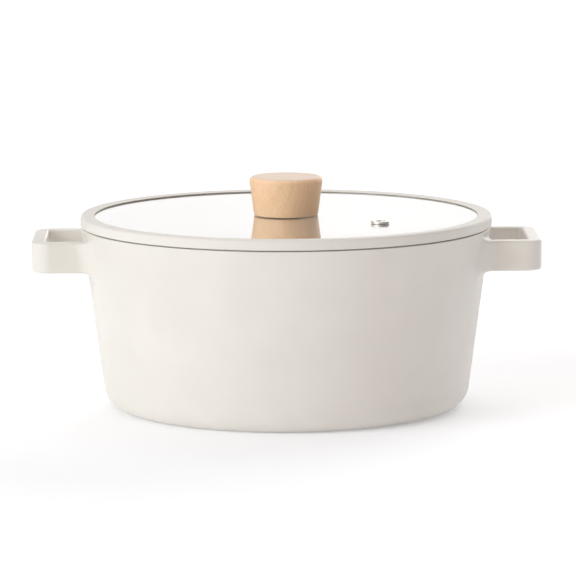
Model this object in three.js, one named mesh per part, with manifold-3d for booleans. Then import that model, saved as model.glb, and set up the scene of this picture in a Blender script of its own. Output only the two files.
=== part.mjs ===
// Two-handled cooking pot of cast aluminium with a flat glass lid, as an assembly of its real pieces.
// Millimetres, +Z up. The origin is the middle of the base, on the surface that the pot stands on.
// +X runs through the two loop handles and -Y is the front. The lid's steam vent is at front right.

import * as THREE from 'three';
import { mergeVertices } from 'three/addons/utils/BufferGeometryUtils.js';
import Module from 'manifold-3d';

const wasm = await Module();
wasm.setup();

// ---------------------------------------------------------------- driving dimensions

const GAP = 0.3; // between pieces that touch each other
const ROUND_STEPS = 64; // sides of the pot, the rim and the glass, all in step with each other
const SMALL_STEPS = 24; // sides of the knob and the fittings

// Pot
const POT_RADIUS = 124.4; // outside of the wall at the mouth
const POT_HEIGHT = 110.5;
const WALL_LEAN = THREE.MathUtils.degToRad(7.5);
const WALL = 3;
const FLOOR = 5.5;
const BASE_CORNER = 13.5;
const INSIDE_CORNER = 11;
const LIP_ROUND = 0.7;

// Steel plate let into the base, so that an induction hob heats the pot
const PLATE_RADIUS = 76;
const PLATE_THICK = 1.2;
const PLATE_HOLE = 3;
const PLATE_MARGIN = 16; // from the outermost ring of holes to the plate's edge
const PLATE_RINGS = 4;
const PLATE_HOLE_SIDES = 6;

// Loop handles
const HANDLE_REACH = 29.5; // from the pot's mouth to the outer face of the bar
const HANDLE_WIDTH = 72;
const HANDLE_HEIGHT = 18.4;
const HANDLE_DROP = 6; // from the pot's mouth down to the handle's top
const HANDLE_ARM = 8.5;
const HANDLE_BAR = 8.4;
const HANDLE_CORNER = 12;
const HANDLE_EDGE = 1.2;
const FINGER_CORNER = 2.5;
const ROOT_FLARE = 10;
const FINGER_ROOT = 7;
const UNDER_FILLET = 7;

// Lid
const RIM_OVERHANG = 0.6; // of the silicone rim beyond the pot's mouth
const RIM_LIP = 0.8; // height of the rim's inner edge above the glass
const RIM_RISE = 0.4; // of the rim's top face towards its outer edge
const RIM_LAP = 2.6; // of the rim over the edge of the glass
const RIM_WEB = 1.2; // between the edge of the glass and the skirt's outside
const RIM_EDGE = 1.6;
const RIM_INNER_EDGE = 0.2;
const RIM_UNDERCUT = 1.2; // depth of the shadow line between the rim and the pot's mouth
const RIM_UNDERCUT_HIGH = 0.5;
const SKIRT_DEPTH = 2.7;
const SKIRT_CLEARANCE = 0.4; // between the skirt and the inside of the pot
const SKIRT_EDGE = 0.8;
const GLASS_THICK = 4;
const GLASS_SIT = 1.9; // from the pot's mouth up to the underside of the glass

// Knob and what holds it
const KNOB_TOP_RADIUS = 22.6;
const KNOB_BASE_RADIUS = 19.5;
const KNOB_HEIGHT = 23.4;
const KNOB_TOP_EDGE = 2.5;
const KNOB_BASE_EDGE = 0.4;
const KNOB_LIFT = 0.5; // from the glass up to the knob's foot
const KNOB_FOOT = 2.7; // width of the knob's foot, round the recess that hides the washer
const KNOB_SEAL_THICK = 1.3;
const KNOB_SEAL_EDGE = 0.4;
const KNOB_COLLAR = 1.9; // wall of the soft collar between the screw and the glass
const INSERT_WALL = 1.6;
const INSERT_LENGTH = 12;
const SCREW_RADIUS = 2.5;
const SCREW_RUN = 0.3; // between the screw's thread and what it passes through
const SCREW_GRIP = 8.7; // in the insert
const BORE_SPARE = 1; // above the insert or the screw, whichever is higher
const SCREW_HEAD_RADIUS = 4.75;
const SCREW_HEAD_THICK = 2.8;
const HEX_SOCKET = 1.73; // corner radius of the key's hexagon
const HEX_DEPTH = 1.8;
const WASHER_RADIUS = 7.5;
const WASHER_THICK = 1;
const UNDER_SEAL_LAP = 4; // over the glass round its hole
const UNDER_SEAL_THICK = 1.2;

// Steam vent
const VENT_REACH = 70.3; // from the middle of the lid
const VENT_TURN = THREE.MathUtils.degToRad(-37.4);
const VENT_BORE = 2.9;
const VENT_TUBE_WALL = 0.4;
const VENT_CAP_WALL = 0.8; // outside the sleeve's top flange, which the cap hides
const VENT_CAP_THICK = 0.66; // over it
const VENT_CURL = 1.5; // beyond the tube, underneath
const VENT_CURL_THICK = 0.8;
const GROMMET_WALL = 0.6;
const GROMMET_COLLAR = 0.4; // beyond the sleeve, on top
const GROMMET_COLLAR_THICK = 0.4;
const GROMMET_FOOT = 1.3; // beyond the sleeve, underneath
const GROMMET_FOOT_THICK = 0.7;

// ---------------------------------------------------------------- finishes

const finish = (color, roughness, metalness = 0) =>
  new THREE.MeshStandardMaterial({ color, roughness, metalness });

const creamCoat = finish(0xe8e2d8, 0.4);
const creamSilicone = finish(0xe4ddd3, 0.6);
const clearGlass = finish(0xe9f0ee, 0.05);
const beech = finish(0xe2b48c, 0.6);
const brass = finish(0xc9a45a, 0.3, 0.9);
const steel = finish(0xb9bbbd, 0.35, 0.9);
const paleSilicone = finish(0xd8d2c8, 0.6);

// ---------------------------------------------------------------- outlines and solids

// Walks round corners given as [x, y, radius, steps] and returns the outline's points. A corner with
// a radius becomes an arc that meets both of its sides; one without stays sharp.
function outline(corners, closed = true) {
  const points = [];
  corners.forEach(([x, y, radius = 0, steps = 3], i) => {
    const corner = new THREE.Vector2(x, y);
    const last = !closed && (i === 0 || i === corners.length - 1);
    if (!radius || last) {
      points.push(corner);
      return;
    }
    const towards = ([x2, y2]) => new THREE.Vector2(x2, y2).sub(corner).normalize();
    const before = towards(corners.at(i - 1));
    const after = towards(corners[(i + 1) % corners.length]);
    const half = Math.acos(THREE.MathUtils.clamp(before.dot(after), -1, 1)) / 2;
    const middle = before.clone().add(after).normalize();
    const centre = corner.clone().addScaledVector(middle, radius / Math.sin(half));
    const from = corner.clone().addScaledVector(before, radius / Math.tan(half)).sub(centre);
    const turn = (Math.PI - 2 * half) * Math.sign(from.cross(middle.clone().negate()));
    for (let k = 0; k <= steps; k++) {
      points.push(from.clone().rotateAround(new THREE.Vector2(), (turn * k) / steps).add(centre));
    }
  });
  return points;
}

// Turns a closed geometry into a solid that can be cut and joined.
function solid(geometry) {
  const bare = geometry.clone();
  bare.deleteAttribute('normal');
  bare.deleteAttribute('uv');
  const merged = mergeVertices(bare, 1e-4);
  const corners = merged.index.array;
  const kept = [];
  for (let i = 0; i < corners.length; i += 3) {
    const [a, b, c] = [corners[i], corners[i + 1], corners[i + 2]];
    if (a !== b && b !== c && c !== a) {
      kept.push(a, b, c);
    }
  }
  const vertProperties = new Float32Array(merged.attributes.position.array);
  const triVerts = new Uint32Array(kept);
  return new wasm.Manifold(new wasm.Mesh({ numProp: 3, vertProperties, triVerts }));
}

function geometryOf(manifold) {
  const { vertProperties, triVerts, numProp } = manifold.getMesh();
  const geometry = new THREE.BufferGeometry();
  const places = new Float32Array((vertProperties.length / numProp) * 3);
  for (let i = 0; i < places.length / 3; i++) {
    places.set(vertProperties.subarray(i * numProp, i * numProp + 3), i * 3);
  }
  geometry.setAttribute('position', new THREE.BufferAttribute(places, 3));
  geometry.setIndex(new THREE.BufferAttribute(new Uint32Array(triVerts), 1));
  geometry.computeVertexNormals();
  return geometry;
}

// A turned piece: a section of [radius, height] corners, anticlockwise, taken round the Z axis.
// A section that starts and ends on the axis is a solid disc; any other is a ring.
function turned(corners, steps) {
  const onAxis = corners[0][0] === 0;
  const points = outline(corners, !onAxis);
  if (!onAxis) {
    points.push(points[0].clone());
  }
  return solid(new THREE.LatheGeometry(points, steps).rotateX(Math.PI / 2));
}

// A flat outline in X and Y, raised from one height to another.
function raised(points, low, high) {
  const geometry = new THREE.ExtrudeGeometry(new THREE.Shape(points), {
    depth: high - low,
    bevelEnabled: false,
  });
  return solid(geometry.translate(0, 0, low));
}

// An outline in X and Z, carried across from one Y to another.
function acrossY(points, from, to) {
  const geometry = new THREE.ExtrudeGeometry(new THREE.Shape(points), {
    depth: to - from,
    bevelEnabled: false,
  });
  return solid(geometry.rotateX(Math.PI / 2).translate(0, to, 0));
}

const rod = (radius, low, high, steps) =>
  solid(
    new THREE.CylinderGeometry(radius, radius, high - low, steps)
      .rotateX(Math.PI / 2)
      .translate(0, 0, (low + high) / 2),
  );

function piece(name, shape, material) {
  const mesh = new THREE.Mesh(geometryOf(shape), material);
  mesh.name = name;
  return mesh;
}

// ---------------------------------------------------------------- pot

const wallSlope = Math.tan(WALL_LEAN);
const wallAcross = WALL / Math.cos(WALL_LEAN); // wall measured level
const outsideAt = (z) => POT_RADIUS - (POT_HEIGHT - z) * wallSlope;
const insideAt = (z) => outsideAt(z) - wallAcross;

const plateRecess = PLATE_THICK + 2 * GAP;

function potShell() {
  return turned(
    [
      [0, 0],
      [outsideAt(0), 0, BASE_CORNER, 5],
      [POT_RADIUS, POT_HEIGHT, LIP_ROUND, 2],
      [insideAt(POT_HEIGHT), POT_HEIGHT, LIP_ROUND, 1],
      [insideAt(FLOOR), FLOOR, INSIDE_CORNER, 4],
      [0, FLOOR],
    ],
    ROUND_STEPS,
  );
}

// Everything within the pot's outer wall and the gap beyond it, which the handles stop at
const handleStop = turned(
  [
    [0, -GAP],
    [outsideAt(-GAP) + GAP / Math.cos(WALL_LEAN), -GAP],
    [outsideAt(POT_HEIGHT + GAP) + GAP / Math.cos(WALL_LEAN), POT_HEIGHT + GAP],
    [0, POT_HEIGHT + GAP],
  ],
  ROUND_STEPS,
);

const mirrored = (points) => points.map(({ x, y }) => new THREE.Vector2(x, -y));

// A closed outline that is the same on both sides of y = 0, from its +Y half, inner end first
const bothSides = (half) => [...mirrored(half), ...half.toReversed()];

// One loop handle, on the +X side. In plan its arms spread out into the wall, and under each arm a
// fillet runs down into the wall. The finger gap goes right through from top to bottom. Its foot
// follows the round of the wall, one gap off it.
function loopHandle() {
  const top = POT_HEIGHT - HANDLE_DROP;
  const bottom = top - HANDLE_HEIGHT;
  const wall = outsideAt(bottom);
  const tip = POT_RADIUS + HANDLE_REACH;
  const side = HANDLE_WIDTH / 2;
  const fingerSide = side - HANDLE_ARM;
  const fingerTip = tip - HANDLE_BAR;

  // X of a point that is this far out in Y and this far off the wall
  const besideWall = (y, off) => Math.sqrt((wall + off) ** 2 - y ** 2);

  const flareY = side + ROOT_FLARE;
  const flareX = besideWall(flareY, ROOT_FLARE);
  const flareEnd = Math.atan2(flareY, flareX);
  const flare = new THREE.Path()
    .absarc(flareX, flareY, ROOT_FLARE, flareEnd + Math.PI, 1.5 * Math.PI)
    .getPoints(3);
  const barCorner = outline(
    [[flareX, side], [tip, side, HANDLE_CORNER, 5], [tip, 0]],
    false,
  ).slice(1, -1);
  const root = new THREE.Vector2(insideAt(bottom) - WALL, 0).rotateAround(new THREE.Vector2(), flareEnd);
  const plan = bothSides([root, ...flare, ...barCorner]);

  const fingerY = fingerSide - FINGER_ROOT;
  const fingerX = besideWall(fingerY, FINGER_ROOT);
  const fingerEnd = Math.atan2(fingerY, fingerX);
  const fingerRoot = new THREE.Path()
    .absarc(fingerX, fingerY, FINGER_ROOT, fingerEnd + Math.PI, 0.5 * Math.PI, true)
    .getPoints(3);
  const fingerCorner = outline(
    [[fingerX, fingerSide], [fingerTip, fingerSide, FINGER_CORNER, 2], [fingerTip, 0]],
    false,
  ).slice(1, -1);
  const finger = raised(bothSides([...fingerRoot, ...fingerCorner]), bottom - 1, top + 1);

  const loopSide = outline([
    [0, bottom],
    [tip, bottom, HANDLE_EDGE, 2],
    [tip, top, HANDLE_EDGE, 2],
    [0, top],
  ]);
  const loop = raised(plan, bottom, top)
    .intersect(acrossY(loopSide, -2 * side, 2 * side))
    .subtract(finger);

  const armWall = besideWall(side, 0);
  const filletLow = bottom - 1.5 * UNDER_FILLET;
  const filletSide = outline([
    [0, filletLow],
    [armWall - (bottom - filletLow) * wallSlope, filletLow],
    [armWall, bottom, UNDER_FILLET, 4],
    [armWall + 1.5 * UNDER_FILLET, bottom],
    [armWall + 1.5 * UNDER_FILLET, bottom + HANDLE_EDGE],
    [0, bottom + HANDLE_EDGE],
  ]);
  return loop
    .add(acrossY(filletSide, fingerSide, side))
    .add(acrossY(filletSide, -side, -fingerSide))
    .subtract(handleStop);
}

function potBody() {
  const recess = rod(PLATE_RADIUS + GAP, -1, plateRecess, ROUND_STEPS);
  return potShell().subtract(recess);
}

// A flat steel disc with rings of holes that the cast metal grips
function inductionPlate() {
  let plate = rod(PLATE_RADIUS, GAP, GAP + PLATE_THICK, ROUND_STEPS);
  const hole = rod(PLATE_HOLE, 0, 2 * GAP + PLATE_THICK, PLATE_HOLE_SIDES);
  plate = plate.subtract(hole);
  for (let ring = 1; ring <= PLATE_RINGS; ring++) {
    for (let k = 0; k < 6 * ring; k++) {
      const angle = (k * Math.PI) / (3 * ring);
      const reach = (ring * (PLATE_RADIUS - PLATE_MARGIN)) / PLATE_RINGS;
      plate = plate.subtract(hole.translate([reach * Math.cos(angle), reach * Math.sin(angle), 0]));
    }
  }
  return plate;
}

// ---------------------------------------------------------------- lid

const seat = POT_HEIGHT + GAP;
const skirtLow = seat - SKIRT_DEPTH;
const skirtRadius = insideAt(skirtLow) - SKIRT_CLEARANCE;
const glassRadius = skirtRadius - RIM_WEB - GAP;
const glassLow = POT_HEIGHT + GLASS_SIT;
const glassHigh = glassLow + GLASS_THICK;

const screwHole = SCREW_RADIUS + SCREW_RUN;
const knobHole = screwHole + KNOB_COLLAR + GAP;

const ventAt = [VENT_REACH * Math.cos(VENT_TURN), VENT_REACH * Math.sin(VENT_TURN), 0];
const ventTube = VENT_BORE + VENT_TUBE_WALL;
const grommetBore = ventTube + GAP;
const grommetSleeve = grommetBore + GROMMET_WALL;

function lidGlass() {
  const disc = rod(glassRadius, glassLow, glassHigh, ROUND_STEPS);
  const holeForKnob = rod(knobHole, glassLow - 1, glassHigh + 1, SMALL_STEPS);
  const holeForVent = rod(grommetSleeve + GAP, glassLow - 1, glassHigh + 1, SMALL_STEPS);
  return disc.subtract(holeForKnob).subtract(holeForVent.translate(ventAt));
}

// The silicone rim: a channel that grips the edge of the glass, a seat on the pot's mouth and a
// skirt just inside it
function lidRim() {
  const outer = POT_RADIUS + RIM_OVERHANG;
  const inner = glassRadius - RIM_LAP;
  const lip = glassHigh + RIM_LIP;
  return turned(
    [
      [outer - RIM_UNDERCUT, seat],
      [outer - RIM_UNDERCUT, seat + RIM_UNDERCUT_HIGH],
      [outer, seat + RIM_UNDERCUT_HIGH],
      [outer, lip + RIM_RISE, RIM_EDGE, 3],
      [inner, lip, RIM_INNER_EDGE, 1],
      [inner, glassHigh + GAP],
      [glassRadius + GAP, glassHigh + GAP],
      [glassRadius + GAP, glassLow - GAP],
      [inner, glassLow - GAP],
      [inner, skirtLow, SKIRT_EDGE, 1],
      [skirtRadius, skirtLow, SKIRT_EDGE, 1],
      [skirtRadius, seat],
    ],
    ROUND_STEPS,
  );
}

// ---------------------------------------------------------------- knob and its fastening

const sealLow = glassHigh + GAP;
const sealHigh = sealLow + KNOB_SEAL_THICK;
const knobRecess = sealHigh + GAP;
const knobLow = glassHigh + KNOB_LIFT;
const knobHigh = knobLow + KNOB_HEIGHT;
const recessRadius = KNOB_BASE_RADIUS - KNOB_FOOT;
const insertLow = knobRecess + GAP;
const underSealHigh = glassLow - GAP;
const washerHigh = underSealHigh - UNDER_SEAL_THICK - GAP;
const headHigh = washerHigh - WASHER_THICK - GAP;
const screwHigh = insertLow + SCREW_GRIP;
const insertRadius = screwHole + INSERT_WALL;

// Wooden knob, wider at the top, bored from below for the insert and the end of the screw. Its
// base is recessed round the bore for the soft washer.
function knob() {
  const bore = insertRadius + GAP;
  const boreTop = Math.max(insertLow + INSERT_LENGTH, screwHigh) + BORE_SPARE;
  return turned(
    [
      [0, boreTop],
      [bore, boreTop],
      [bore, knobRecess],
      [recessRadius, knobRecess],
      [recessRadius, knobLow],
      [KNOB_BASE_RADIUS, knobLow, KNOB_BASE_EDGE, 2],
      [KNOB_TOP_RADIUS, knobHigh, KNOB_TOP_EDGE, 4],
      [0, knobHigh],
    ],
    SMALL_STEPS,
  );
}

const ring = (inner, outer, low, high, edge = 0) =>
  turned(
    [
      [inner, low],
      [outer, low, edge, 1],
      [outer, high, edge, 1],
      [inner, high],
    ],
    SMALL_STEPS,
  );

const knobInsert = () => ring(screwHole, insertRadius, insertLow, insertLow + INSERT_LENGTH, 0.4);

// Soft washer under the knob, with a collar that keeps the screw off the glass
function knobSeal() {
  const collar = knobHole - GAP;
  const edge = recessRadius - GAP;
  return turned(
    [
      [screwHole, glassLow + GAP],
      [collar, glassLow + GAP],
      [collar, sealLow],
      [edge, sealLow],
      [edge, sealHigh, KNOB_SEAL_EDGE, 1],
      [screwHole, sealHigh],
    ],
    SMALL_STEPS,
  );
}

const underSeal = () =>
  ring(screwHole, knobHole + UNDER_SEAL_LAP, underSealHigh - UNDER_SEAL_THICK, underSealHigh, 0.3);
const screwWasher = () =>
  ring(screwHole, WASHER_RADIUS, washerHigh - WASHER_THICK, washerHigh, 0.2);

// Round-headed screw, put in from under the lid, with a hexagon socket in its head
function knobScrew() {
  const headLow = headHigh - SCREW_HEAD_THICK;
  const body = turned(
    [
      [0, headLow],
      [SCREW_HEAD_RADIUS, headLow, 1.4, 3],
      [SCREW_HEAD_RADIUS, headHigh],
      [SCREW_RADIUS, headHigh],
      [SCREW_RADIUS, screwHigh, 0.5, 1],
      [0, screwHigh],
    ],
    SMALL_STEPS,
  );
  return body.subtract(rod(HEX_SOCKET, headLow - 1, headLow + HEX_DEPTH, 6));
}

// ---------------------------------------------------------------- steam vent

// Soft sleeve round the vent's hole in the glass, with a collar above and a wider foot below
function ventGrommet() {
  const collar = grommetSleeve + GROMMET_COLLAR;
  const foot = grommetSleeve + GROMMET_FOOT;
  const low = glassLow - GAP;
  const high = glassHigh + GAP;
  return turned(
    [
      [grommetBore, low - GROMMET_FOOT_THICK],
      [foot, low - GROMMET_FOOT_THICK],
      [foot, low],
      [grommetSleeve, low],
      [grommetSleeve, high],
      [collar, high],
      [collar, high + GROMMET_COLLAR_THICK],
      [grommetBore, high + GROMMET_COLLAR_THICK],
    ],
    SMALL_STEPS,
  ).translate(ventAt);
}

// Metal eyelet through the sleeve that steam leaves by. Its cap turns down round the sleeve's
// collar, and its lower end is curled over.
function ventEyelet() {
  const capInside = grommetSleeve + GROMMET_COLLAR + GAP;
  const cap = capInside + VENT_CAP_WALL;
  const capLow = glassHigh + GAP;
  const capUnder = capLow + GROMMET_COLLAR_THICK + GAP;
  const curl = ventTube + VENT_CURL;
  const curlHigh = glassLow - 2 * GAP - GROMMET_FOOT_THICK;
  return turned(
    [
      [VENT_BORE, curlHigh - VENT_CURL_THICK],
      [curl, curlHigh - VENT_CURL_THICK, 0.3, 1],
      [curl, curlHigh],
      [ventTube, curlHigh],
      [ventTube, capUnder],
      [capInside, capUnder],
      [capInside, capLow],
      [cap, capLow],
      [cap, capUnder + VENT_CAP_THICK, 0.5, 2],
      [VENT_BORE, capUnder + VENT_CAP_THICK, 0.3, 2],
    ],
    SMALL_STEPS,
  ).translate(ventAt);
}

// ---------------------------------------------------------------- assembly

const pot = new THREE.Group();
pot.add(piece('pot_body', potBody(), creamCoat));
pot.add(piece('handle_right', loopHandle(), creamCoat));
pot.add(piece('handle_left', loopHandle().rotate([0, 0, 180]), creamCoat));
pot.add(piece('induction_plate', inductionPlate(), steel));

const lid = new THREE.Group();
lid.add(piece('lid_glass', lidGlass(), clearGlass));
lid.add(piece('lid_rim', lidRim(), creamSilicone));
lid.add(piece('knob', knob(), beech));
lid.add(piece('knob_insert', knobInsert(), brass));
lid.add(piece('knob_seal', knobSeal(), paleSilicone));
lid.add(piece('under_seal', underSeal(), paleSilicone));
lid.add(piece('screw_washer', screwWasher(), steel));
lid.add(piece('knob_screw', knobScrew(), steel));
lid.add(piece('vent_grommet', ventGrommet(), paleSilicone));
lid.add(piece('vent_eyelet', ventEyelet(), steel));

const cookingPot = new THREE.Group();
cookingPot.add(pot, lid);

export default cookingPot;
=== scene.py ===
import math

import bmesh
import bpy
from mathutils import Matrix, Vector


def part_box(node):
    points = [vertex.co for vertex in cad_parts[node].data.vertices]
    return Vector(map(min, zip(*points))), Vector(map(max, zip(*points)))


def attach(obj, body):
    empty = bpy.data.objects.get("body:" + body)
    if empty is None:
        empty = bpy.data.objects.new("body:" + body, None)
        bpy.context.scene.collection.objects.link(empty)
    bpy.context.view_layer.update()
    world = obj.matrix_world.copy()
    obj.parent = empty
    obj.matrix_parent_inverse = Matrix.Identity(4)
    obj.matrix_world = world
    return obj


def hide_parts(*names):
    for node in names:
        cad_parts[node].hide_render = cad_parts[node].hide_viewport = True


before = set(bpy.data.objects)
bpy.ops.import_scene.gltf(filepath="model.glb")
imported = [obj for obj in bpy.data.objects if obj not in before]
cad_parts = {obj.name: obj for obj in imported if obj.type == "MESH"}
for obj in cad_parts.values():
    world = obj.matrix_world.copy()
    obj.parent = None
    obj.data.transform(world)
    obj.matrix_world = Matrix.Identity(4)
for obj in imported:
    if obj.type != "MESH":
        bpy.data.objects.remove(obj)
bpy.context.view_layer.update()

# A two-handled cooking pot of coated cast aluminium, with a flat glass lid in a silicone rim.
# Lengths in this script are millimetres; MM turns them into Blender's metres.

MM = 0.001
CREASE = math.radians(32)  # edges sharper than this stay sharp in the shading
SAME_PLACE = 1e-7  # metres; vertices closer than this are joined
ON_AXIS = 1e-6  # millimetres; a smaller radius is the axis itself
FEWEST_ARC_STEPS = 4
MOST_ARC_STEPS = 16

# Sides of each round piece
POT_SIDES = 288
GLASS_SIDES = 256
PLATE_SIDES = 192
PLATE_HOLE_SIDES = 32
KNOB_SIDES = 128
WASHER_SIDES = 96
VENT_SIDES = 72
VENT_HOLE_SIDES = 64
THREAD_SIDES = 48
SOCKET_SIDES = 6


def box_mm(node):
    """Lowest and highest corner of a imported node, in millimetres."""
    low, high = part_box(node)
    return low / MM, high / MM


# ------------------------------------------------------------------ sizes
# The roundings of small corners stand in the outlines, as the third number of a corner.

GAP = 0.3  # between pieces that touch each other
CUT_PAST = 1.0  # how far a cutter runs past the surface it cuts

_, pot_high = box_mm("pot_body")
_, handle_high = box_mm("handle_right")
POT_HEIGHT = pot_high.z
HANDLE_TIP = handle_high.x
MOUTH_RADIUS = 124.4
WALL_LEAN = math.radians(7.5)
WALL = 3.0
FLOOR = 5.5
BASE_CORNER = 13.5
INSIDE_CORNER = 11.0
LIP_ROUND = 0.5
POT_SPACING = 4.0  # most height between two rings of vertices

HANDLE_WIDTH = 72.0
HANDLE_HEIGHT = 18.4
HANDLE_DROP = 6.0
HANDLE_ARM = 8.5
HANDLE_BAR = 8.4
HANDLE_CORNER = 12.0
HANDLE_EDGE = 1.3
FINGER_CORNER = 2.5
ROOT_FLARE = 10.0
FINGER_ROOT = 7.0
UNDER_FILLET = 7.0
TOP_FILLET = 2.5
HANDLE_ROOT = 1.3  # how far the handle runs into the wall
FILLET_SINK = 0.05  # the edge of its fillet lies this far inside the wall, so the surfaces cross

plate_low, plate_high = box_mm("induction_plate")
PLATE_RADIUS = plate_high.x
PLATE_HOLE = 3.0
PLATE_MARGIN = 16.0  # from the outermost ring of holes to the plate's edge
PLATE_RINGS = 4
PLATE_EDGE = 0.15

rim_low, rim_high = box_mm("lid_rim")
glass_low, glass_high = box_mm("lid_glass")
GLASS_RADIUS = glass_high.x
GLASS_EDGE = 0.7  # rounding of the glass's ground edge
SEAT = POT_HEIGHT + GAP
RIM_LAP = 2.6  # of the rim over the edge of the glass
RIM_LIP = 0.8  # height of the rim's inner edge above the glass
RIM_RISE = 0.4  # of the rim's top face towards its outer edge
RIM_EDGE = 1.6
RIM_UNDERCUT = 2.2  # depth of the shadow line between the rim and the pot's mouth
RIM_UNDERCUT_HIGH = 0.6
SKIRT_GAP = 0.4

knob_low, knob_high = box_mm("knob")
KNOB_TOP_RADIUS = 22.6
KNOB_BASE_RADIUS = 19.5
KNOB_TOP_EDGE = 2.5
KNOB_BASE_EDGE = 0.4
BORE_SPARE = 1.0  # depth of the knob's bore past the end of the screw
KNOB_SPACING = 3.0

insert_low, insert_high = box_mm("knob_insert")
seal_low, seal_high = box_mm("knob_seal")
under_low, under_high = box_mm("under_seal")
washer_low, washer_high = box_mm("screw_washer")
screw_low, screw_high = box_mm("knob_screw")
SCREW_RADIUS = 2.5
SCREW_BORE = SCREW_RADIUS + 0.3  # bore of what the screw passes through
SCREW_COLLAR = SCREW_BORE + 1.9  # outside of the soft collar that keeps the screw off the glass
SCREW_PITCH = 0.8
SCREW_TIP = 0.5  # height of the taper at the screw's end
SCREW_TIP_RADIUS = SCREW_RADIUS - 0.6
UNDER_HEAD = 0.05  # from the head to where the thread starts
SCREW_HEAD_THICK = 2.8
SCREW_HEAD_ROUND = 1.4
SOCKET_RADIUS = 1.73
SOCKET_DEPTH = 1.8
THREAD_DEPTH = 0.4
THREAD_STEPS = 10  # rings in one turn of a thread
INSERT_PITCH = 1.5
INSERT_THREAD_DEPTH = 0.5
INSERT_END = 0.2  # length of the plain part at each end
INSERT_ROOT = insert_high.x - 0.6  # radius of the plain parts

vent_low, vent_high = box_mm("vent_eyelet")
sleeve_low, sleeve_high = box_mm("vent_grommet")
VENT_AT = (vent_low + vent_high) / 2
VENT_BORE = 2.9
VENT_TUBE = VENT_BORE + 0.4  # outside of the eyelet's tube
VENT_CURL = 1.5  # of the eyelet's lower end, beyond the tube
SLEEVE_BORE = VENT_TUBE + GAP
SLEEVE_RADIUS = SLEEVE_BORE + 0.6
SLEEVE_COLLAR = 0.4

wall_slope = math.tan(WALL_LEAN)
wall_across = WALL / math.cos(WALL_LEAN)


def outside_at(z):
    """Radius of the pot's outer surface at a height."""
    return MOUTH_RADIUS - (POT_HEIGHT - z) * wall_slope


def inside_at(z):
    return outside_at(z) - wall_across


# ------------------------------------------------------------------ mesh tools


def rounded(corners, closed=True, step=0.35):
    """An outline's points. A corner given as (x, y, radius) becomes an arc between its two sides."""
    points = []
    count = len(corners)
    for i, corner in enumerate(corners):
        at = Vector(corner[:2])
        radius = corner[2] if len(corner) > 2 else 0
        if not radius or (not closed and i in (0, count - 1)):
            points.append(at)
            continue
        before = (Vector(corners[i - 1][:2]) - at).normalized()
        after = (Vector(corners[(i + 1) % count][:2]) - at).normalized()
        half = before.angle(after) / 2
        centre = at + (before + after).normalized() * (radius / math.sin(half))
        start = at + before * (radius / math.tan(half)) - centre
        end = at + after * (radius / math.tan(half)) - centre
        sweep = math.pi - 2 * half
        steps = min(max(FEWEST_ARC_STEPS, round(radius * sweep / step)), MOST_ARC_STEPS)
        for k in range(steps + 1):
            share = k / steps
            weight_start = math.sin((1 - share) * sweep) / math.sin(sweep)
            weight_end = math.sin(share * sweep) / math.sin(sweep)
            points.append(centre + start * weight_start + end * weight_end)
    return points


def filled_in(points, spacing, closed=False):
    """The same outline with points added so that none are further apart than the spacing."""
    dense = []
    pairs = list(zip(points, points[1:] + points[:1]))
    for a, b in pairs if closed else pairs[:-1]:
        cuts = max(1, math.ceil((b - a).length / spacing))
        dense += [a.lerp(b, k / cuts) for k in range(cuts)]
    return dense if closed else dense + [points[-1]]


def piece_from(name, mesh, body, nodes, finish):
    """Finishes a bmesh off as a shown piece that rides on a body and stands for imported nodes."""
    piece = object_from(mesh, name)
    piece.data.materials.append(finish)
    shade(piece.data)
    piece.modifiers.new("even_normals", "WEIGHTED_NORMAL").keep_sharp = True
    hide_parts(*nodes)
    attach(piece, body)
    return piece


def shade(data):
    """Smooth faces, with edges sharper than the crease kept sharp."""
    for face in data.polygons:
        face.use_smooth = True
    data.set_sharp_from_angle(angle=CREASE)


def circle(mesh, radius, height, around, centre=(0, 0)):
    """A ring of new vertices, or one vertex where the radius is nothing."""
    count = around if radius > ON_AXIS else 1
    return [
        mesh.verts.new(
            (
                (centre[0] + radius * math.cos(math.tau * k / around)) * MM,
                (centre[1] + radius * math.sin(math.tau * k / around)) * MM,
                height * MM,
            )
        )
        for k in range(count)
    ]


def placed(mesh, rings):
    """Rings of new vertices at the places given."""
    return [[mesh.verts.new((x * MM, y * MM, z * MM)) for x, y, z in ring] for ring in rings]


def skin(mesh, rings, closed=False):
    """Faces from each ring of vertices to the next, and from the last to the first if closed."""
    pairs = list(zip(rings, rings[1:]))
    if closed:
        pairs.append((rings[-1], rings[0]))
    for lower, upper in pairs:
        around = max(len(lower), len(upper))
        for k in range(around):
            j = (k + 1) % around
            corners = ((lower, k), (lower, j), (upper, j), (upper, k))
            face = list(dict.fromkeys(ring[at % len(ring)] for ring, at in corners))
            if len(face) > 2:
                mesh.faces.new(face)


def turned(points, around, centre=(0, 0)):
    """A bmesh turned about Z from (radius, height) points. It starts and ends on the axis, or closes."""
    mesh = bmesh.new()
    rings = [circle(mesh, radius, height, around, centre) for radius, height in points]
    skin(mesh, rings, closed=len(rings[0]) > 1)
    return mesh


def cut(piece, cutter, operation="DIFFERENCE"):
    """Cuts an object out of a piece, or joins it on. The object is then gone."""
    modifier = piece.modifiers.new("cut", "BOOLEAN")
    modifier.operation = operation
    modifier.solver = "EXACT"
    modifier.object = cutter
    others = [m for m in piece.modifiers if m != modifier]
    for other in others:
        other.show_viewport = False
    bpy.context.view_layer.update()
    depsgraph = bpy.context.evaluated_depsgraph_get()
    piece.data = bpy.data.meshes.new_from_object(piece.evaluated_get(depsgraph))
    for other in others:
        other.show_viewport = True
    piece.modifiers.remove(modifier)
    bpy.data.objects.remove(cutter)
    shade(piece.data)


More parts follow.
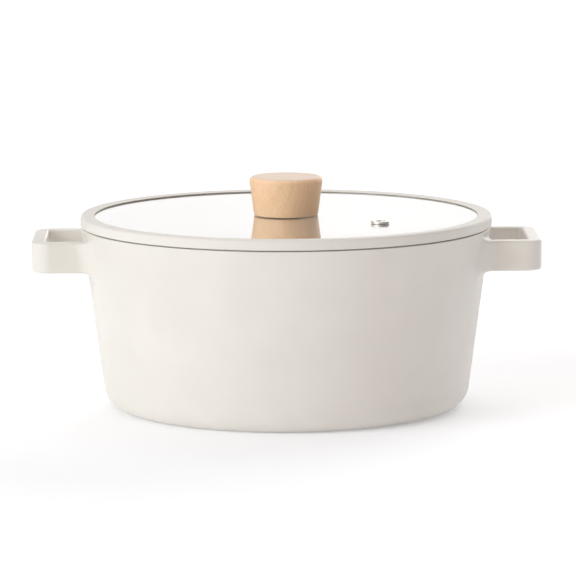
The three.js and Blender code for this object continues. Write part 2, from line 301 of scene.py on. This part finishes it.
def object_from(mesh, name="cutter"):
    """An object made from a bmesh, which is then freed. Doubled vertices become one."""
    bmesh.ops.remove_doubles(mesh, verts=mesh.verts, dist=SAME_PLACE)
    bmesh.ops.recalc_face_normals(mesh, faces=mesh.faces)
    data = bpy.data.meshes.new(name)
    mesh.to_mesh(data)
    mesh.free()
    made = bpy.data.objects.new(name, data)
    bpy.context.collection.objects.link(made)
    return made


def rod(radius, low, high, around, centre=(0, 0)):
    return turned([(0, low), (radius, low), (radius, high), (0, high)], around, centre)


# ------------------------------------------------------------------ finishes


class Signal:
    """A number that varies over a surface. Arithmetic on signals adds Math nodes."""

    def __init__(self, finish, socket):
        self.finish = finish
        self.socket = socket

    def maths(self, operation, *values):
        return self.finish.node("ShaderNodeMath", {"operation": operation}, dict(enumerate(values)))

    def __add__(self, other):
        return self.maths("ADD", self, other)

    __radd__ = __add__

    def __sub__(self, other):
        return self.maths("SUBTRACT", self, other)

    def __rsub__(self, other):
        return self.maths("SUBTRACT", other, self)

    def __mul__(self, other):
        return self.maths("MULTIPLY", self, other)

    __rmul__ = __mul__

    def __truediv__(self, other):
        return self.maths("DIVIDE", self, other)

    def __pow__(self, other):
        return self.maths("POWER", self, other)


class Finish:
    """One material: a Principled shader, and the nodes that vary its colour, gloss and relief."""

    def __init__(self, name, **fixed):
        self.material = bpy.data.materials.new(name)
        self.material.use_nodes = True
        self.tree = self.material.node_tree
        self.shader = self.tree.nodes["Principled BSDF"]
        for socket, value in fixed.items():
            self.shader.inputs[socket.replace("_", " ")].default_value = value
        self.place = self.node("ShaderNodeTexCoord", output="Object")

    def node(self, kind, settings=None, values=None, output=0):
        made = self.tree.nodes.new(kind)
        for setting, value in (settings or {}).items():
            setattr(made, setting, value)
        for socket, value in (values or {}).items():
            if isinstance(value, Signal):
                self.tree.links.new(value.socket, made.inputs[socket])
            else:
                made.inputs[socket].default_value = value
        return Signal(self, made.outputs[output])

    def set(self, socket, signal):
        self.tree.links.new(signal.socket, self.shader.inputs[socket])

    def stretched(self, x, y, z):
        """The surface's place with each axis scaled, for grain and brush marks."""
        settings = {"operation": "MULTIPLY"}
        return self.node("ShaderNodeVectorMath", settings, {0: self.place, 1: (x, y, z)})

    def noise(self, size_mm, detail=2.0, roughness=0.5, place=None, distortion=0.0):
        """Noise from 0 to 1 whose blotches are about this size."""
        values = {
            "Vector": place or self.place,
            "Scale": 1 / (size_mm * MM),
            "Detail": detail,
            "Roughness": roughness,
            "Distortion": distortion,
        }
        return self.node("ShaderNodeTexNoise", None, values)

    def mix(self, share, first, second):
        settings = {"data_type": "RGBA"}
        return self.node("ShaderNodeMix", settings, {0: share, 6: first, 7: second}, output=2)

    def step(self, signal, low, high):
        """0 below low and 1 above high, smooth in between."""
        settings = {"interpolation_type": "SMOOTHSTEP"}
        return self.node("ShaderNodeMapRange", settings, {0: signal, 1: low, 2: high, 3: 0.0, 4: 1.0})

    def part(self, axis):
        return self.node("ShaderNodeSeparateXYZ", None, {0: self.place}, output=axis)

    def radius(self, centre=(0.0, 0.0)):
        """Distance from an upright axis, in metres."""
        across = self.part("X") - centre[0] * MM
        along = self.part("Y") - centre[1] * MM
        return (across * across + along * along) ** 0.5

    def relief(self, height, depth_mm, strength=1.0):
        """Raises the surface by a signal from 0 to 1 times a depth."""
        values = {"Height": height, "Distance": depth_mm * MM, "Strength": strength}
        self.set("Normal", self.node("ShaderNodeBump", None, values))


def colour(red, green, blue):
    """An sRGB colour, 0 to 255, as the linear colour that shaders take."""

    def linear(value):
        value /= 255
        return value / 12.92 if value <= 0.04045 else ((value + 0.055) / 1.055) ** 2.4

    return (linear(red), linear(green), linear(blue), 1.0)


def satin_ceramic_coat():
    """Sprayed cream ceramic coat: faint orange peel, faint clouding and a few finer specks."""
    coat = Finish("satin_ceramic_coat", Roughness=0.42, Specular_IOR_Level=0.5, IOR=1.5)
    clouds = coat.noise(38, detail=3)
    specks = coat.step(coat.noise(0.45, detail=1), 0.71, 0.78)
    tone = coat.mix(coat.step(clouds, 0.3, 0.7), colour(222, 217, 209), colour(226, 221, 214))
    coat.set("Base Color", coat.mix(specks * 0.25, tone, colour(196, 188, 177)))
    coat.set("Roughness", 0.38 + 0.07 * coat.noise(6, detail=2))
    coat.relief(coat.noise(1.1, detail=2, roughness=0.45), 0.012)
    return coat.material


def cream_silicone():
    rubber = Finish("cream_silicone", Roughness=0.55, Specular_IOR_Level=0.4)
    tone = rubber.mix(rubber.noise(9, detail=3), colour(222, 217, 210), colour(227, 223, 216))
    rubber.set("Base Color", tone)
    rubber.set("Roughness", 0.5 + 0.14 * rubber.noise(2.5, detail=2))
    rubber.relief(rubber.noise(0.35, detail=2), 0.01)
    return rubber.material


def washer_silicone():
    rubber = Finish("washer_silicone", Roughness=0.6)
    # The dark brown-grey is partly painted shade: soft silicone washers and the vent sleeve, coloured
    # dark to stand for the shadow gap under the knob and the vent.
    tone = rubber.mix(rubber.noise(3, detail=3), colour(150, 136, 120), colour(172, 158, 142))
    rubber.set("Base Color", tone)
    rubber.set("Roughness", 0.52 + 0.16 * rubber.noise(1.2))
    rubber.relief(rubber.noise(0.3, detail=2), 0.01)
    return rubber.material


def tempered_glass():
    """Clear glass with a trace of green. It lets the lamps' light straight through to the pot."""
    glass = Finish(
        "tempered_glass",
        Roughness=0.0,
        IOR=1.58,
        Transmission_Weight=1.0,
        Coat_Weight=1.0,
        Coat_Roughness=0.0,
    )
    tint = glass.mix(glass.noise(60), (0.98, 0.985, 0.97, 1), (0.99, 0.99, 0.98, 1))
    glass.set("Base Color", tint)
    nodes, links = glass.tree.nodes, glass.tree.links
    clear = nodes.new("ShaderNodeBsdfTransparent")
    for_lamps = nodes.new("ShaderNodeMixShader")
    links.new(nodes.new("ShaderNodeLightPath").outputs["Is Shadow Ray"], for_lamps.inputs[0])
    links.new(glass.shader.outputs[0], for_lamps.inputs[1])
    links.new(clear.outputs[0], for_lamps.inputs[2])
    links.new(for_lamps.outputs[0], nodes["Material Output"].inputs["Surface"])
    return glass.material


def turned_beech():
    """Pale beech with upright grain: growth rings off to one side, fine pores and short ray flecks."""
    wood = Finish("turned_beech", Specular_IOR_Level=0.3, Coat_Roughness=0.25, Coat_Weight=0.04)
    pith = (31, 44)  # the middle of the trunk, from the knob's axis
    ring_width = 2.6
    wander = 0.0016  # metres, of the rings from true circles
    waver = wood.noise(16, detail=2, place=wood.stretched(1, 1, 0.35))
    rings = wood.radius(pith) + wander * waver
    ring = wood.node("ShaderNodeMath", {"operation": "FRACT"}, {0: rings / (ring_width * MM)})
    late = wood.step(ring, 0.45, 0.97) * (1 - wood.step(ring, 0.97, 1.0))
    grain = wood.noise(0.8, detail=4, roughness=0.6, place=wood.stretched(1, 1, 0.05))
    pores = wood.step(wood.noise(0.4, detail=1, place=wood.stretched(1, 1, 0.12)), 0.62, 0.74)
    flecks = wood.step(wood.noise(0.6, detail=0, place=wood.stretched(1, 1, 0.2)), 0.68, 0.74)
    tone = wood.mix(late * 0.5, colour(255, 215, 176), colour(250, 202, 160))
    tone = wood.mix(wood.step(grain, 0.35, 0.75) * 0.4, tone, colour(244, 196, 154))
    # Painted sheen: the flat top of the knob is paled and greyed towards white, standing for the white
    # surroundings reflected at a grazing angle, not a colour of the wood.
    top_sheen_painted = wood.step(wood.part("Z"), (knob_high.z - 1.0) * MM, (knob_high.z - 0.2) * MM)
    tone = wood.mix(top_sheen_painted * 0.85, tone, colour(229, 211, 193))
    tone = wood.mix(flecks * 0.3, tone, colour(218, 168, 124))
    tone = wood.mix(pores * 0.3, tone, colour(208, 158, 116))
    wood.set("Base Color", tone)
    wood.set("Roughness", 0.42 + 0.16 * grain)
    wood.relief(grain * 0.6 - pores * 0.8, 0.04)
    return wood.material


def machined_steel():
    """Base plate, faced on a lathe: fine rings about the middle."""
    steel = Finish("machined_steel", Metallic=1.0, Roughness=0.35, Anisotropic=0.4)
    along_radius = steel.node("ShaderNodeCombineXYZ", None, {0: steel.radius(), 1: 0.0, 2: 0.0})
    turning = steel.noise(0.35, detail=3, place=along_radius)
    tone = steel.mix(steel.noise(30, detail=3), colour(186, 186, 185), colour(206, 206, 205))
    steel.set("Base Color", steel.mix(turning * 0.5, tone, colour(160, 160, 160)))
    steel.set("Roughness", 0.26 + 0.2 * turning)
    steel.relief(turning, 0.02)
    return steel.material


def pressed_steel():
    """Screw, washer and vent: tumbled steel, pale and satin, with faint scuffs along its height."""
    steel = Finish("pressed_steel", Metallic=1.0, Roughness=0.48)
    scuffs = steel.noise(0.8, detail=4, place=steel.stretched(1, 1, 0.25))
    steel.set("Base Color", steel.mix(scuffs, colour(224, 220, 214), colour(240, 237, 232)))
    steel.set("Roughness", 0.42 + 0.14 * scuffs)
    steel.relief(steel.noise(0.3, detail=3), 0.008)
    return steel.material


def turned_brass():
    brass = Finish("turned_brass", Metallic=1.0, Roughness=0.3)
    stain = brass.noise(2.2, detail=4)
    brass.set("Base Color", brass.mix(stain, colour(196, 158, 84), colour(222, 188, 116)))
    brass.set("Roughness", 0.24 + 0.2 * stain)
    brass.relief(brass.noise(0.4, detail=3), 0.006)
    return brass.material


# ------------------------------------------------------------------ camera, lights and floor


def studio():
    """A pale floor, a surround that is bright near the horizon, and soft boxes."""
    scene = bpy.context.scene
    scene.view_settings.view_transform = "Standard"

    floor_radius = 14.0  # metres
    mesh = bmesh.new()
    bmesh.ops.create_circle(mesh, cap_ends=True, segments=128, radius=floor_radius)
    floor = object_from(mesh, "floor")
    paint = Finish("pale_floor", Roughness=0.9, Specular_IOR_Level=0.1, Emission_Strength=0.2)
    paint.shader.inputs["Emission Color"].default_value = (0.91, 0.93, 1.0, 1.0)
    paint.set("Base Color", paint.mix(paint.noise(400), (0.94, 0.94, 0.94, 1), (0.95, 0.95, 0.95, 1)))
    floor.data.materials.append(paint.material)

    world = bpy.data.worlds.new("surround")
    world.use_nodes = True
    nodes, links = world.node_tree.nodes, world.node_tree.links
    direction = nodes.new("ShaderNodeSeparateXYZ")
    links.new(nodes.new("ShaderNodeTexCoord").outputs["Generated"], direction.inputs[0])
    horizon_glow = 0.58
    high_glow = 0.06
    fades_by = 0.45  # height, as a share of the way straight up
    glow = nodes.new("ShaderNodeMapRange")
    glow.interpolation_type = "SMOOTHSTEP"
    for socket, value in ((1, fades_by), (2, 0.0), (3, high_glow), (4, horizon_glow)):
        glow.inputs[socket].default_value = value
    links.new(direction.outputs["Z"], glow.inputs[0])
    links.new(glow.outputs[0], nodes["Background"].inputs["Color"])
    scene.world = world

    # Name, degrees round from the front towards the right, degrees up, spread, strength, colour
    for name, around, up, spread, strength, tint in (
        ("key_left", -60, 15, 50, 0.63, (0.89, 0.97, 1.0)),
        ("overhead", 0, 85, 90, 0.41, (1.0, 0.94, 0.93)),
        ("front_left", -25, 10, 40, 0.09, (1.0, 0.75, 0.5)),
        ("back_high", 180, 55, 60, 0.08, (1.0, 1.0, 1.0)),
        ("back", 180, 30, 60, 0.16, (1.0, 0.98, 0.98)),
        ("back_right", 150, 15, 50, 0.44, (0.98, 1.0, 1.0)),
    ):
        data = bpy.data.lights.new(name, "SUN")
        data.energy = math.pi * strength
        data.angle = math.radians(spread)
        data.color = tint
        lamp = bpy.data.objects.new(name, data)
        bpy.context.collection.objects.link(lamp)
        level = math.cos(math.radians(up))
        source = Vector(
            (
                level * math.sin(math.radians(around)),
                -level * math.cos(math.radians(around)),
                math.sin(math.radians(up)),
            )
        )
        lamp.rotation_euler = source.to_track_quat("Z", "Y").to_euler()


def camera():
    """The camera stands about 2.5 m in front, a little to the left and 8 degrees above."""
    data = bpy.data.cameras.new("camera")
    data.lens = 257
    data.sensor_width = 36
    made = bpy.data.objects.new("camera", data)
    bpy.context.collection.objects.link(made)
    place = Vector((-38, -2483, 431)) * MM
    aim = Vector((1, 0, 71.5)) * MM
    tilt = Matrix.Rotation(-0.0033, 4, "Z")
    looking = (aim - place).to_track_quat("-Z", "Y").to_matrix().to_4x4()
    made.matrix_world = Matrix.Translation(place) @ looking @ tilt
    bpy.context.scene.camera = made


# ------------------------------------------------------------------ pot


def handle_loop():
    """One loop handle at +X as a closed tube of rings. Each end spreads into the wall in a fillet."""
    top = POT_HEIGHT - HANDLE_DROP
    bottom = top - HANDLE_HEIGHT
    side = HANDLE_WIDTH / 2
    finger_side = side - HANDLE_ARM
    finger_tip = HANDLE_TIP - HANDLE_BAR
    corner_turns = 6

    # The bar's section: for each point, which face it is measured from, how far in it lies, its
    # height, and the way the surface faces there: (sideways, up)
    section = []
    arcs = [("outer", bottom, -90), ("outer", top, 0), ("inner", top, 90), ("inner", bottom, 180)]
    for face, level, start in arcs:
        for k in range(corner_turns + 1):
            angle = math.radians(start + 90 * k / corner_turns)
            across, up = math.cos(angle), math.sin(angle)
            inset = HANDLE_EDGE * (1 - abs(across))
            middle = level + HANDLE_EDGE if level == bottom else level - HANDLE_EDGE
            section.append((face, inset, middle + HANDLE_EDGE * up, across, up))

    def ring_between(outer, inner):
        towards = (inner - outer).normalized()
        ring = []
        for face, inset, height, _, _ in section:
            at = outer + towards * inset if face == "outer" else inner - towards * inset
            ring.append((at.x, at.y, height))
        return ring

    def root_ring(turn, depth=0.0):
        """The ring where the arm's surface has turned this far towards the wall."""
        ring = []
        for face, inset, height, across, up in section:
            sideways = ROOT_FLARE if across > 0 else FINGER_ROOT
            upright = TOP_FILLET if up > 0 else UNDER_FILLET
            radius = across * across * sideways + up * up * upright
            away = radius * (1 - math.cos(turn))
            y = (side - inset if face == "outer" else finger_side + inset) + across * away
            z = height + up * away
            wall = math.sqrt(outside_at(z) ** 2 - y * y)
            ring.append((wall + radius * (1 - math.sin(turn)) - depth, y, z))
        return ring

    root_steps = 12
    rings = [root_ring(math.pi / 2, depth=HANDLE_ROOT)]
    for k in range(root_steps, -1, -1):
        share = k / root_steps
        rings.append(root_ring(share * math.pi / 2, depth=FILLET_SINK * share))
    corner_steps = 12
    for k in range(corner_steps + 1):
        angle = math.pi / 2 * k / corner_steps
        lean = Vector((math.sin(angle), math.cos(angle)))
        outer = Vector((HANDLE_TIP - HANDLE_CORNER, side - HANDLE_CORNER)) + lean * HANDLE_CORNER
        inner = Vector((finger_tip - FINGER_CORNER, finger_side - FINGER_CORNER)) + lean * FINGER_CORNER
        rings.append(ring_between(outer, inner))
    rings.append(ring_between(Vector((HANDLE_TIP, 0)), Vector((finger_tip, 0))))
    mirrored = [[(x, -y, z) for x, y, z in ring] for ring in rings[-2::-1]]
    return rings + mirrored


def add_handle(mesh, sign):
    """sign 1 puts the handle at +X, and -1 turns it half way round to -X."""
    rings = placed(mesh, [[(sign * x, sign * y, z) for x, y, z in ring] for ring in handle_loop()])
    skin(mesh, rings)
    mesh.faces.new(rings[0])
    mesh.faces.new(rings[-1])


def pot(finish):
    recess = plate_high.z + GAP
    outline = rounded(
        [
            (0, recess),
            (PLATE_RADIUS + GAP, recess),
            (PLATE_RADIUS + GAP, 0, 0.25),
            (outside_at(0), 0, BASE_CORNER),
            (MOUTH_RADIUS, POT_HEIGHT, LIP_ROUND),
            (inside_at(POT_HEIGHT), POT_HEIGHT, LIP_ROUND),
            (inside_at(FLOOR), FLOOR, INSIDE_CORNER),
            (0, FLOOR),
        ],
        closed=False,
    )
    shell = turned(filled_in(outline, POT_SPACING), POT_SIDES)
    cast = ("pot_body", "handle_right", "handle_left")
    made = piece_from("pot", shell, "pot", cast, finish)
    handles = bmesh.new()
    add_handle(handles, 1)
    add_handle(handles, -1)
    cut(made, object_from(handles, "handles"), "UNION")
    return made


def base_plate(finish):
    """Steel disc with rings of round holes, which the cast base grips."""
    low, high = plate_low.z, plate_high.z
    mesh = bmesh.new()
    edge = rounded([(0, low), (PLATE_RADIUS, low, PLATE_EDGE), (PLATE_RADIUS, high)], closed=False)[1:]
    sides = [[circle(mesh, radius, height, PLATE_SIDES) for radius, height in edge]]
    pitch = (PLATE_RADIUS - PLATE_MARGIN) / PLATE_RINGS
    for ring in range(1, PLATE_RINGS + 1):
        for k in range(6 * ring):
            angle = math.tau * k / (6 * ring)
            centre = (ring * pitch * math.cos(angle), ring * pitch * math.sin(angle))
            hole = [circle(mesh, PLATE_HOLE, z, PLATE_HOLE_SIDES, centre) for z in (low, high)]
            sides.append(hole)
    for rings in sides:
        skin(mesh, rings)
    for end in (0, -1):
        loops = [rings[end] for rings in sides]
        edges = [mesh.edges.get((loop[k - 1], loop[k])) for loop in loops for k in range(len(loop))]
        bmesh.ops.triangle_fill(mesh, use_beauty=True, edges=edges)
    return piece_from("base_plate", mesh, "pot", ("induction_plate",), finish)


# ------------------------------------------------------------------ lid


def glass_disc(finish):
    knob_hole = SCREW_COLLAR + GAP
    outline = rounded(
        [
            (knob_hole, glass_low.z, 0.4),
            (GLASS_RADIUS, glass_low.z, GLASS_EDGE),
            (GLASS_RADIUS, glass_high.z, GLASS_EDGE),
            (knob_hole, glass_high.z, 0.4),
        ]
    )
    mesh = turned(outline, GLASS_SIDES)
    made = piece_from("glass", mesh, "lid", ("lid_glass",), finish)
    low, high = glass_low.z - CUT_PAST, glass_high.z + CUT_PAST
    hole = rod(SLEEVE_RADIUS + GAP, low, high, VENT_HOLE_SIDES, VENT_AT.xy)
    cut(made, object_from(hole))
    return made


def silicone_rim(finish):
    outer = rim_high.y
    inner = GLASS_RADIUS - RIM_LAP
    skirt = inside_at(rim_low.z) - SKIRT_GAP
    lip = glass_high.z + RIM_LIP
    outline = rounded(
        [
            (outer - RIM_UNDERCUT, SEAT, 0.1),
            (outer - RIM_UNDERCUT, SEAT + RIM_UNDERCUT_HIGH, 0.15),
            (outer, SEAT + RIM_UNDERCUT_HIGH, 0.3),
            (outer, lip + RIM_RISE, RIM_EDGE),
            (inner, lip, 0.2),
            (inner, glass_high.z + GAP, 0.12),
            (GLASS_RADIUS + GAP, glass_high.z + GAP),
            (GLASS_RADIUS + GAP, glass_low.z - GAP),
            (inner, glass_low.z - GAP, 0.2),
            (inner, rim_low.z, 0.7),
            (skirt, rim_low.z, 0.7),
            (skirt, SEAT, 0.3),
        ]
    )
    mesh = turned(outline, POT_SIDES)
    return piece_from("silicone_rim", mesh, "lid", ("lid_rim",), finish)


def wooden_knob(finish):
    bore = insert_high.x + GAP
    bore_top = max(insert_high.z, screw_high.z) + BORE_SPARE
    recess = seal_high.z + GAP
    foot = seal_high.x + GAP
    outline = rounded(
        [
            (0, bore_top),
            (bore, bore_top),
            (bore, recess, 0.3),
            (foot, recess),
            (foot, knob_low.z, 0.3),
            (KNOB_BASE_RADIUS, knob_low.z, KNOB_BASE_EDGE),
            (KNOB_TOP_RADIUS, knob_high.z, KNOB_TOP_EDGE),
            (0, knob_high.z),
        ],
        closed=False,
    )
    mesh = turned(filled_in(outline, KNOB_SPACING), KNOB_SIDES)
    return piece_from("wooden_knob", mesh, "lid", ("knob",), finish)


def threaded(radius, low, high, depth, pitch):
    """Rings of (x, y, height) for a screw thread that fades out at both ends."""
    rings = []
    count = max(2, round((high - low) / pitch * THREAD_STEPS))
    for k in range(count + 1):
        height = low + (high - low) * k / count
        fade = min(1.0, (height - low) / pitch, (high - height) / pitch)
        ring = []
        for j in range(THREAD_SIDES):
            wave = abs(2 * ((height / pitch - j / THREAD_SIDES) % 1.0) - 1)
            at = radius - depth * (1 - wave * fade)
            angle = math.tau * j / THREAD_SIDES
            ring.append((at * math.cos(angle), at * math.sin(angle), height))
        rings.append(ring)
    return rings


def screw(finish):
    head_high = screw_low.z + SCREW_HEAD_THICK
    tip = screw_high.z - SCREW_TIP
    head = rounded(
        [
            (0, screw_low.z),
            (screw_high.x, screw_low.z, SCREW_HEAD_ROUND),
            (screw_high.x, head_high, 0.1),
            (SCREW_RADIUS - THREAD_DEPTH, head_high),
        ],
        closed=False,
    )
    thread = threaded(SCREW_RADIUS, head_high + UNDER_HEAD, tip, THREAD_DEPTH, SCREW_PITCH)
    mesh = bmesh.new()
    rings = [circle(mesh, radius, height, THREAD_SIDES) for radius, height in head[1:]]
    rings += placed(mesh, thread)
    rings.append(circle(mesh, SCREW_TIP_RADIUS, screw_high.z, THREAD_SIDES))
    skin(mesh, rings)
    mesh.faces.new(rings[0])
    mesh.faces.new(rings[-1])
    made = piece_from("screw", mesh, "lid", ("knob_screw",), finish)
    low, high = screw_low.z - CUT_PAST, screw_low.z + SOCKET_DEPTH
    socket = rod(SOCKET_RADIUS, low, high, SOCKET_SIDES)
    cut(made, object_from(socket))
    return made


def insert(finish):
    low, high = insert_low.z, insert_high.z
    ends = (low + INSERT_END, high - INSERT_END)
    thread = threaded(insert_high.x, *ends, INSERT_THREAD_DEPTH, INSERT_PITCH)
    mesh = bmesh.new()
    rings = [circle(mesh, radius, low, THREAD_SIDES) for radius in (SCREW_BORE, INSERT_ROOT)]
    rings += placed(mesh, thread)
    rings += [circle(mesh, radius, high, THREAD_SIDES) for radius in (INSERT_ROOT, SCREW_BORE)]
    skin(mesh, rings, closed=True)
    return piece_from("brass_insert", mesh, "lid", ("knob_insert",), finish)


def washers(silicone, steel):
    seat = glass_high.z + GAP
    outline = rounded(
        [
            (SCREW_BORE, seal_low.z),
            (SCREW_COLLAR, seal_low.z, 0.2),
            (SCREW_COLLAR, seat, 0.1),
            (seal_high.x, seat, 0.3),
            (seal_high.x, seal_high.z, 0.5),
            (SCREW_BORE, seal_high.z),
        ]
    )
    mesh = turned(outline, WASHER_SIDES)
    piece_from("knob_washer", mesh, "lid", ("knob_seal",), silicone)
    for name, node, slot, finish, (low, high), edge in (
        ("under_washer", "under_seal", "washer_silicone", silicone, (under_low, under_high), 0.35),
        ("steel_washer", "screw_washer", "fitting_steel", steel, (washer_low, washer_high), 0.2),
    ):
        outline = rounded(
            [
                (SCREW_BORE, low.z, 0.1),
                (high.x, low.z, edge),
                (high.x, high.z, edge),
                (SCREW_BORE, high.z, 0.1),
            ]
        )
        piece_from(name, turned(outline, WASHER_SIDES), "lid", (node,), finish)


def steam_vent(silicone, steel):
    """A soft sleeve through the glass, and a capped metal eyelet through the sleeve."""
    centre = VENT_AT.xy
    collar = SLEEVE_RADIUS + SLEEVE_COLLAR
    foot = (sleeve_high.x - sleeve_low.x) / 2
    low, high = glass_low.z - GAP, glass_high.z + GAP
    outline = rounded(
        [
            (SLEEVE_BORE, sleeve_low.z),
            (foot, sleeve_low.z, 0.25),
            (foot, low, 0.1),
            (SLEEVE_RADIUS, low),
            (SLEEVE_RADIUS, high),
            (collar, high, 0.1),
            (collar, sleeve_high.z, 0.15),
            (SLEEVE_BORE, sleeve_high.z),
        ]
    )
    mesh = turned(outline, VENT_SIDES, centre)
    piece_from("vent_sleeve", mesh, "lid", ("vent_grommet",), silicone)
    cap = (vent_high.x - vent_low.x) / 2
    cap_under = sleeve_high.z + GAP
    curl = VENT_TUBE + VENT_CURL
    outline = rounded(
        [
            (VENT_BORE, vent_low.z, 0.35),
            (curl, vent_low.z, 0.38),
            (curl, sleeve_low.z - GAP, 0.38),
            (VENT_TUBE, sleeve_low.z - GAP, 0.1),
            (VENT_TUBE, cap_under, 0.1),
            (collar + GAP, cap_under, 0.1),
            (collar + GAP, high, 0.1),
            (cap, high, 0.15),
            (cap, vent_high.z, 0.5),
            (VENT_BORE, vent_high.z, 0.3),
        ],
        step=0.1,
    )
    mesh = turned(outline, VENT_SIDES, centre)
    piece_from("vent_eyelet_ring", mesh, "lid", ("vent_eyelet",), steel)


# ------------------------------------------------------------------ everything

camera()
studio()

coat = satin_ceramic_coat()
steel = pressed_steel()
soft = washer_silicone()

pot(coat)
base_plate(machined_steel())
glass_disc(tempered_glass())
silicone_rim(cream_silicone())
wooden_knob(turned_beech())
insert(turned_brass())
washers(soft, steel)
screw(steel)
steam_vent(soft, steel)
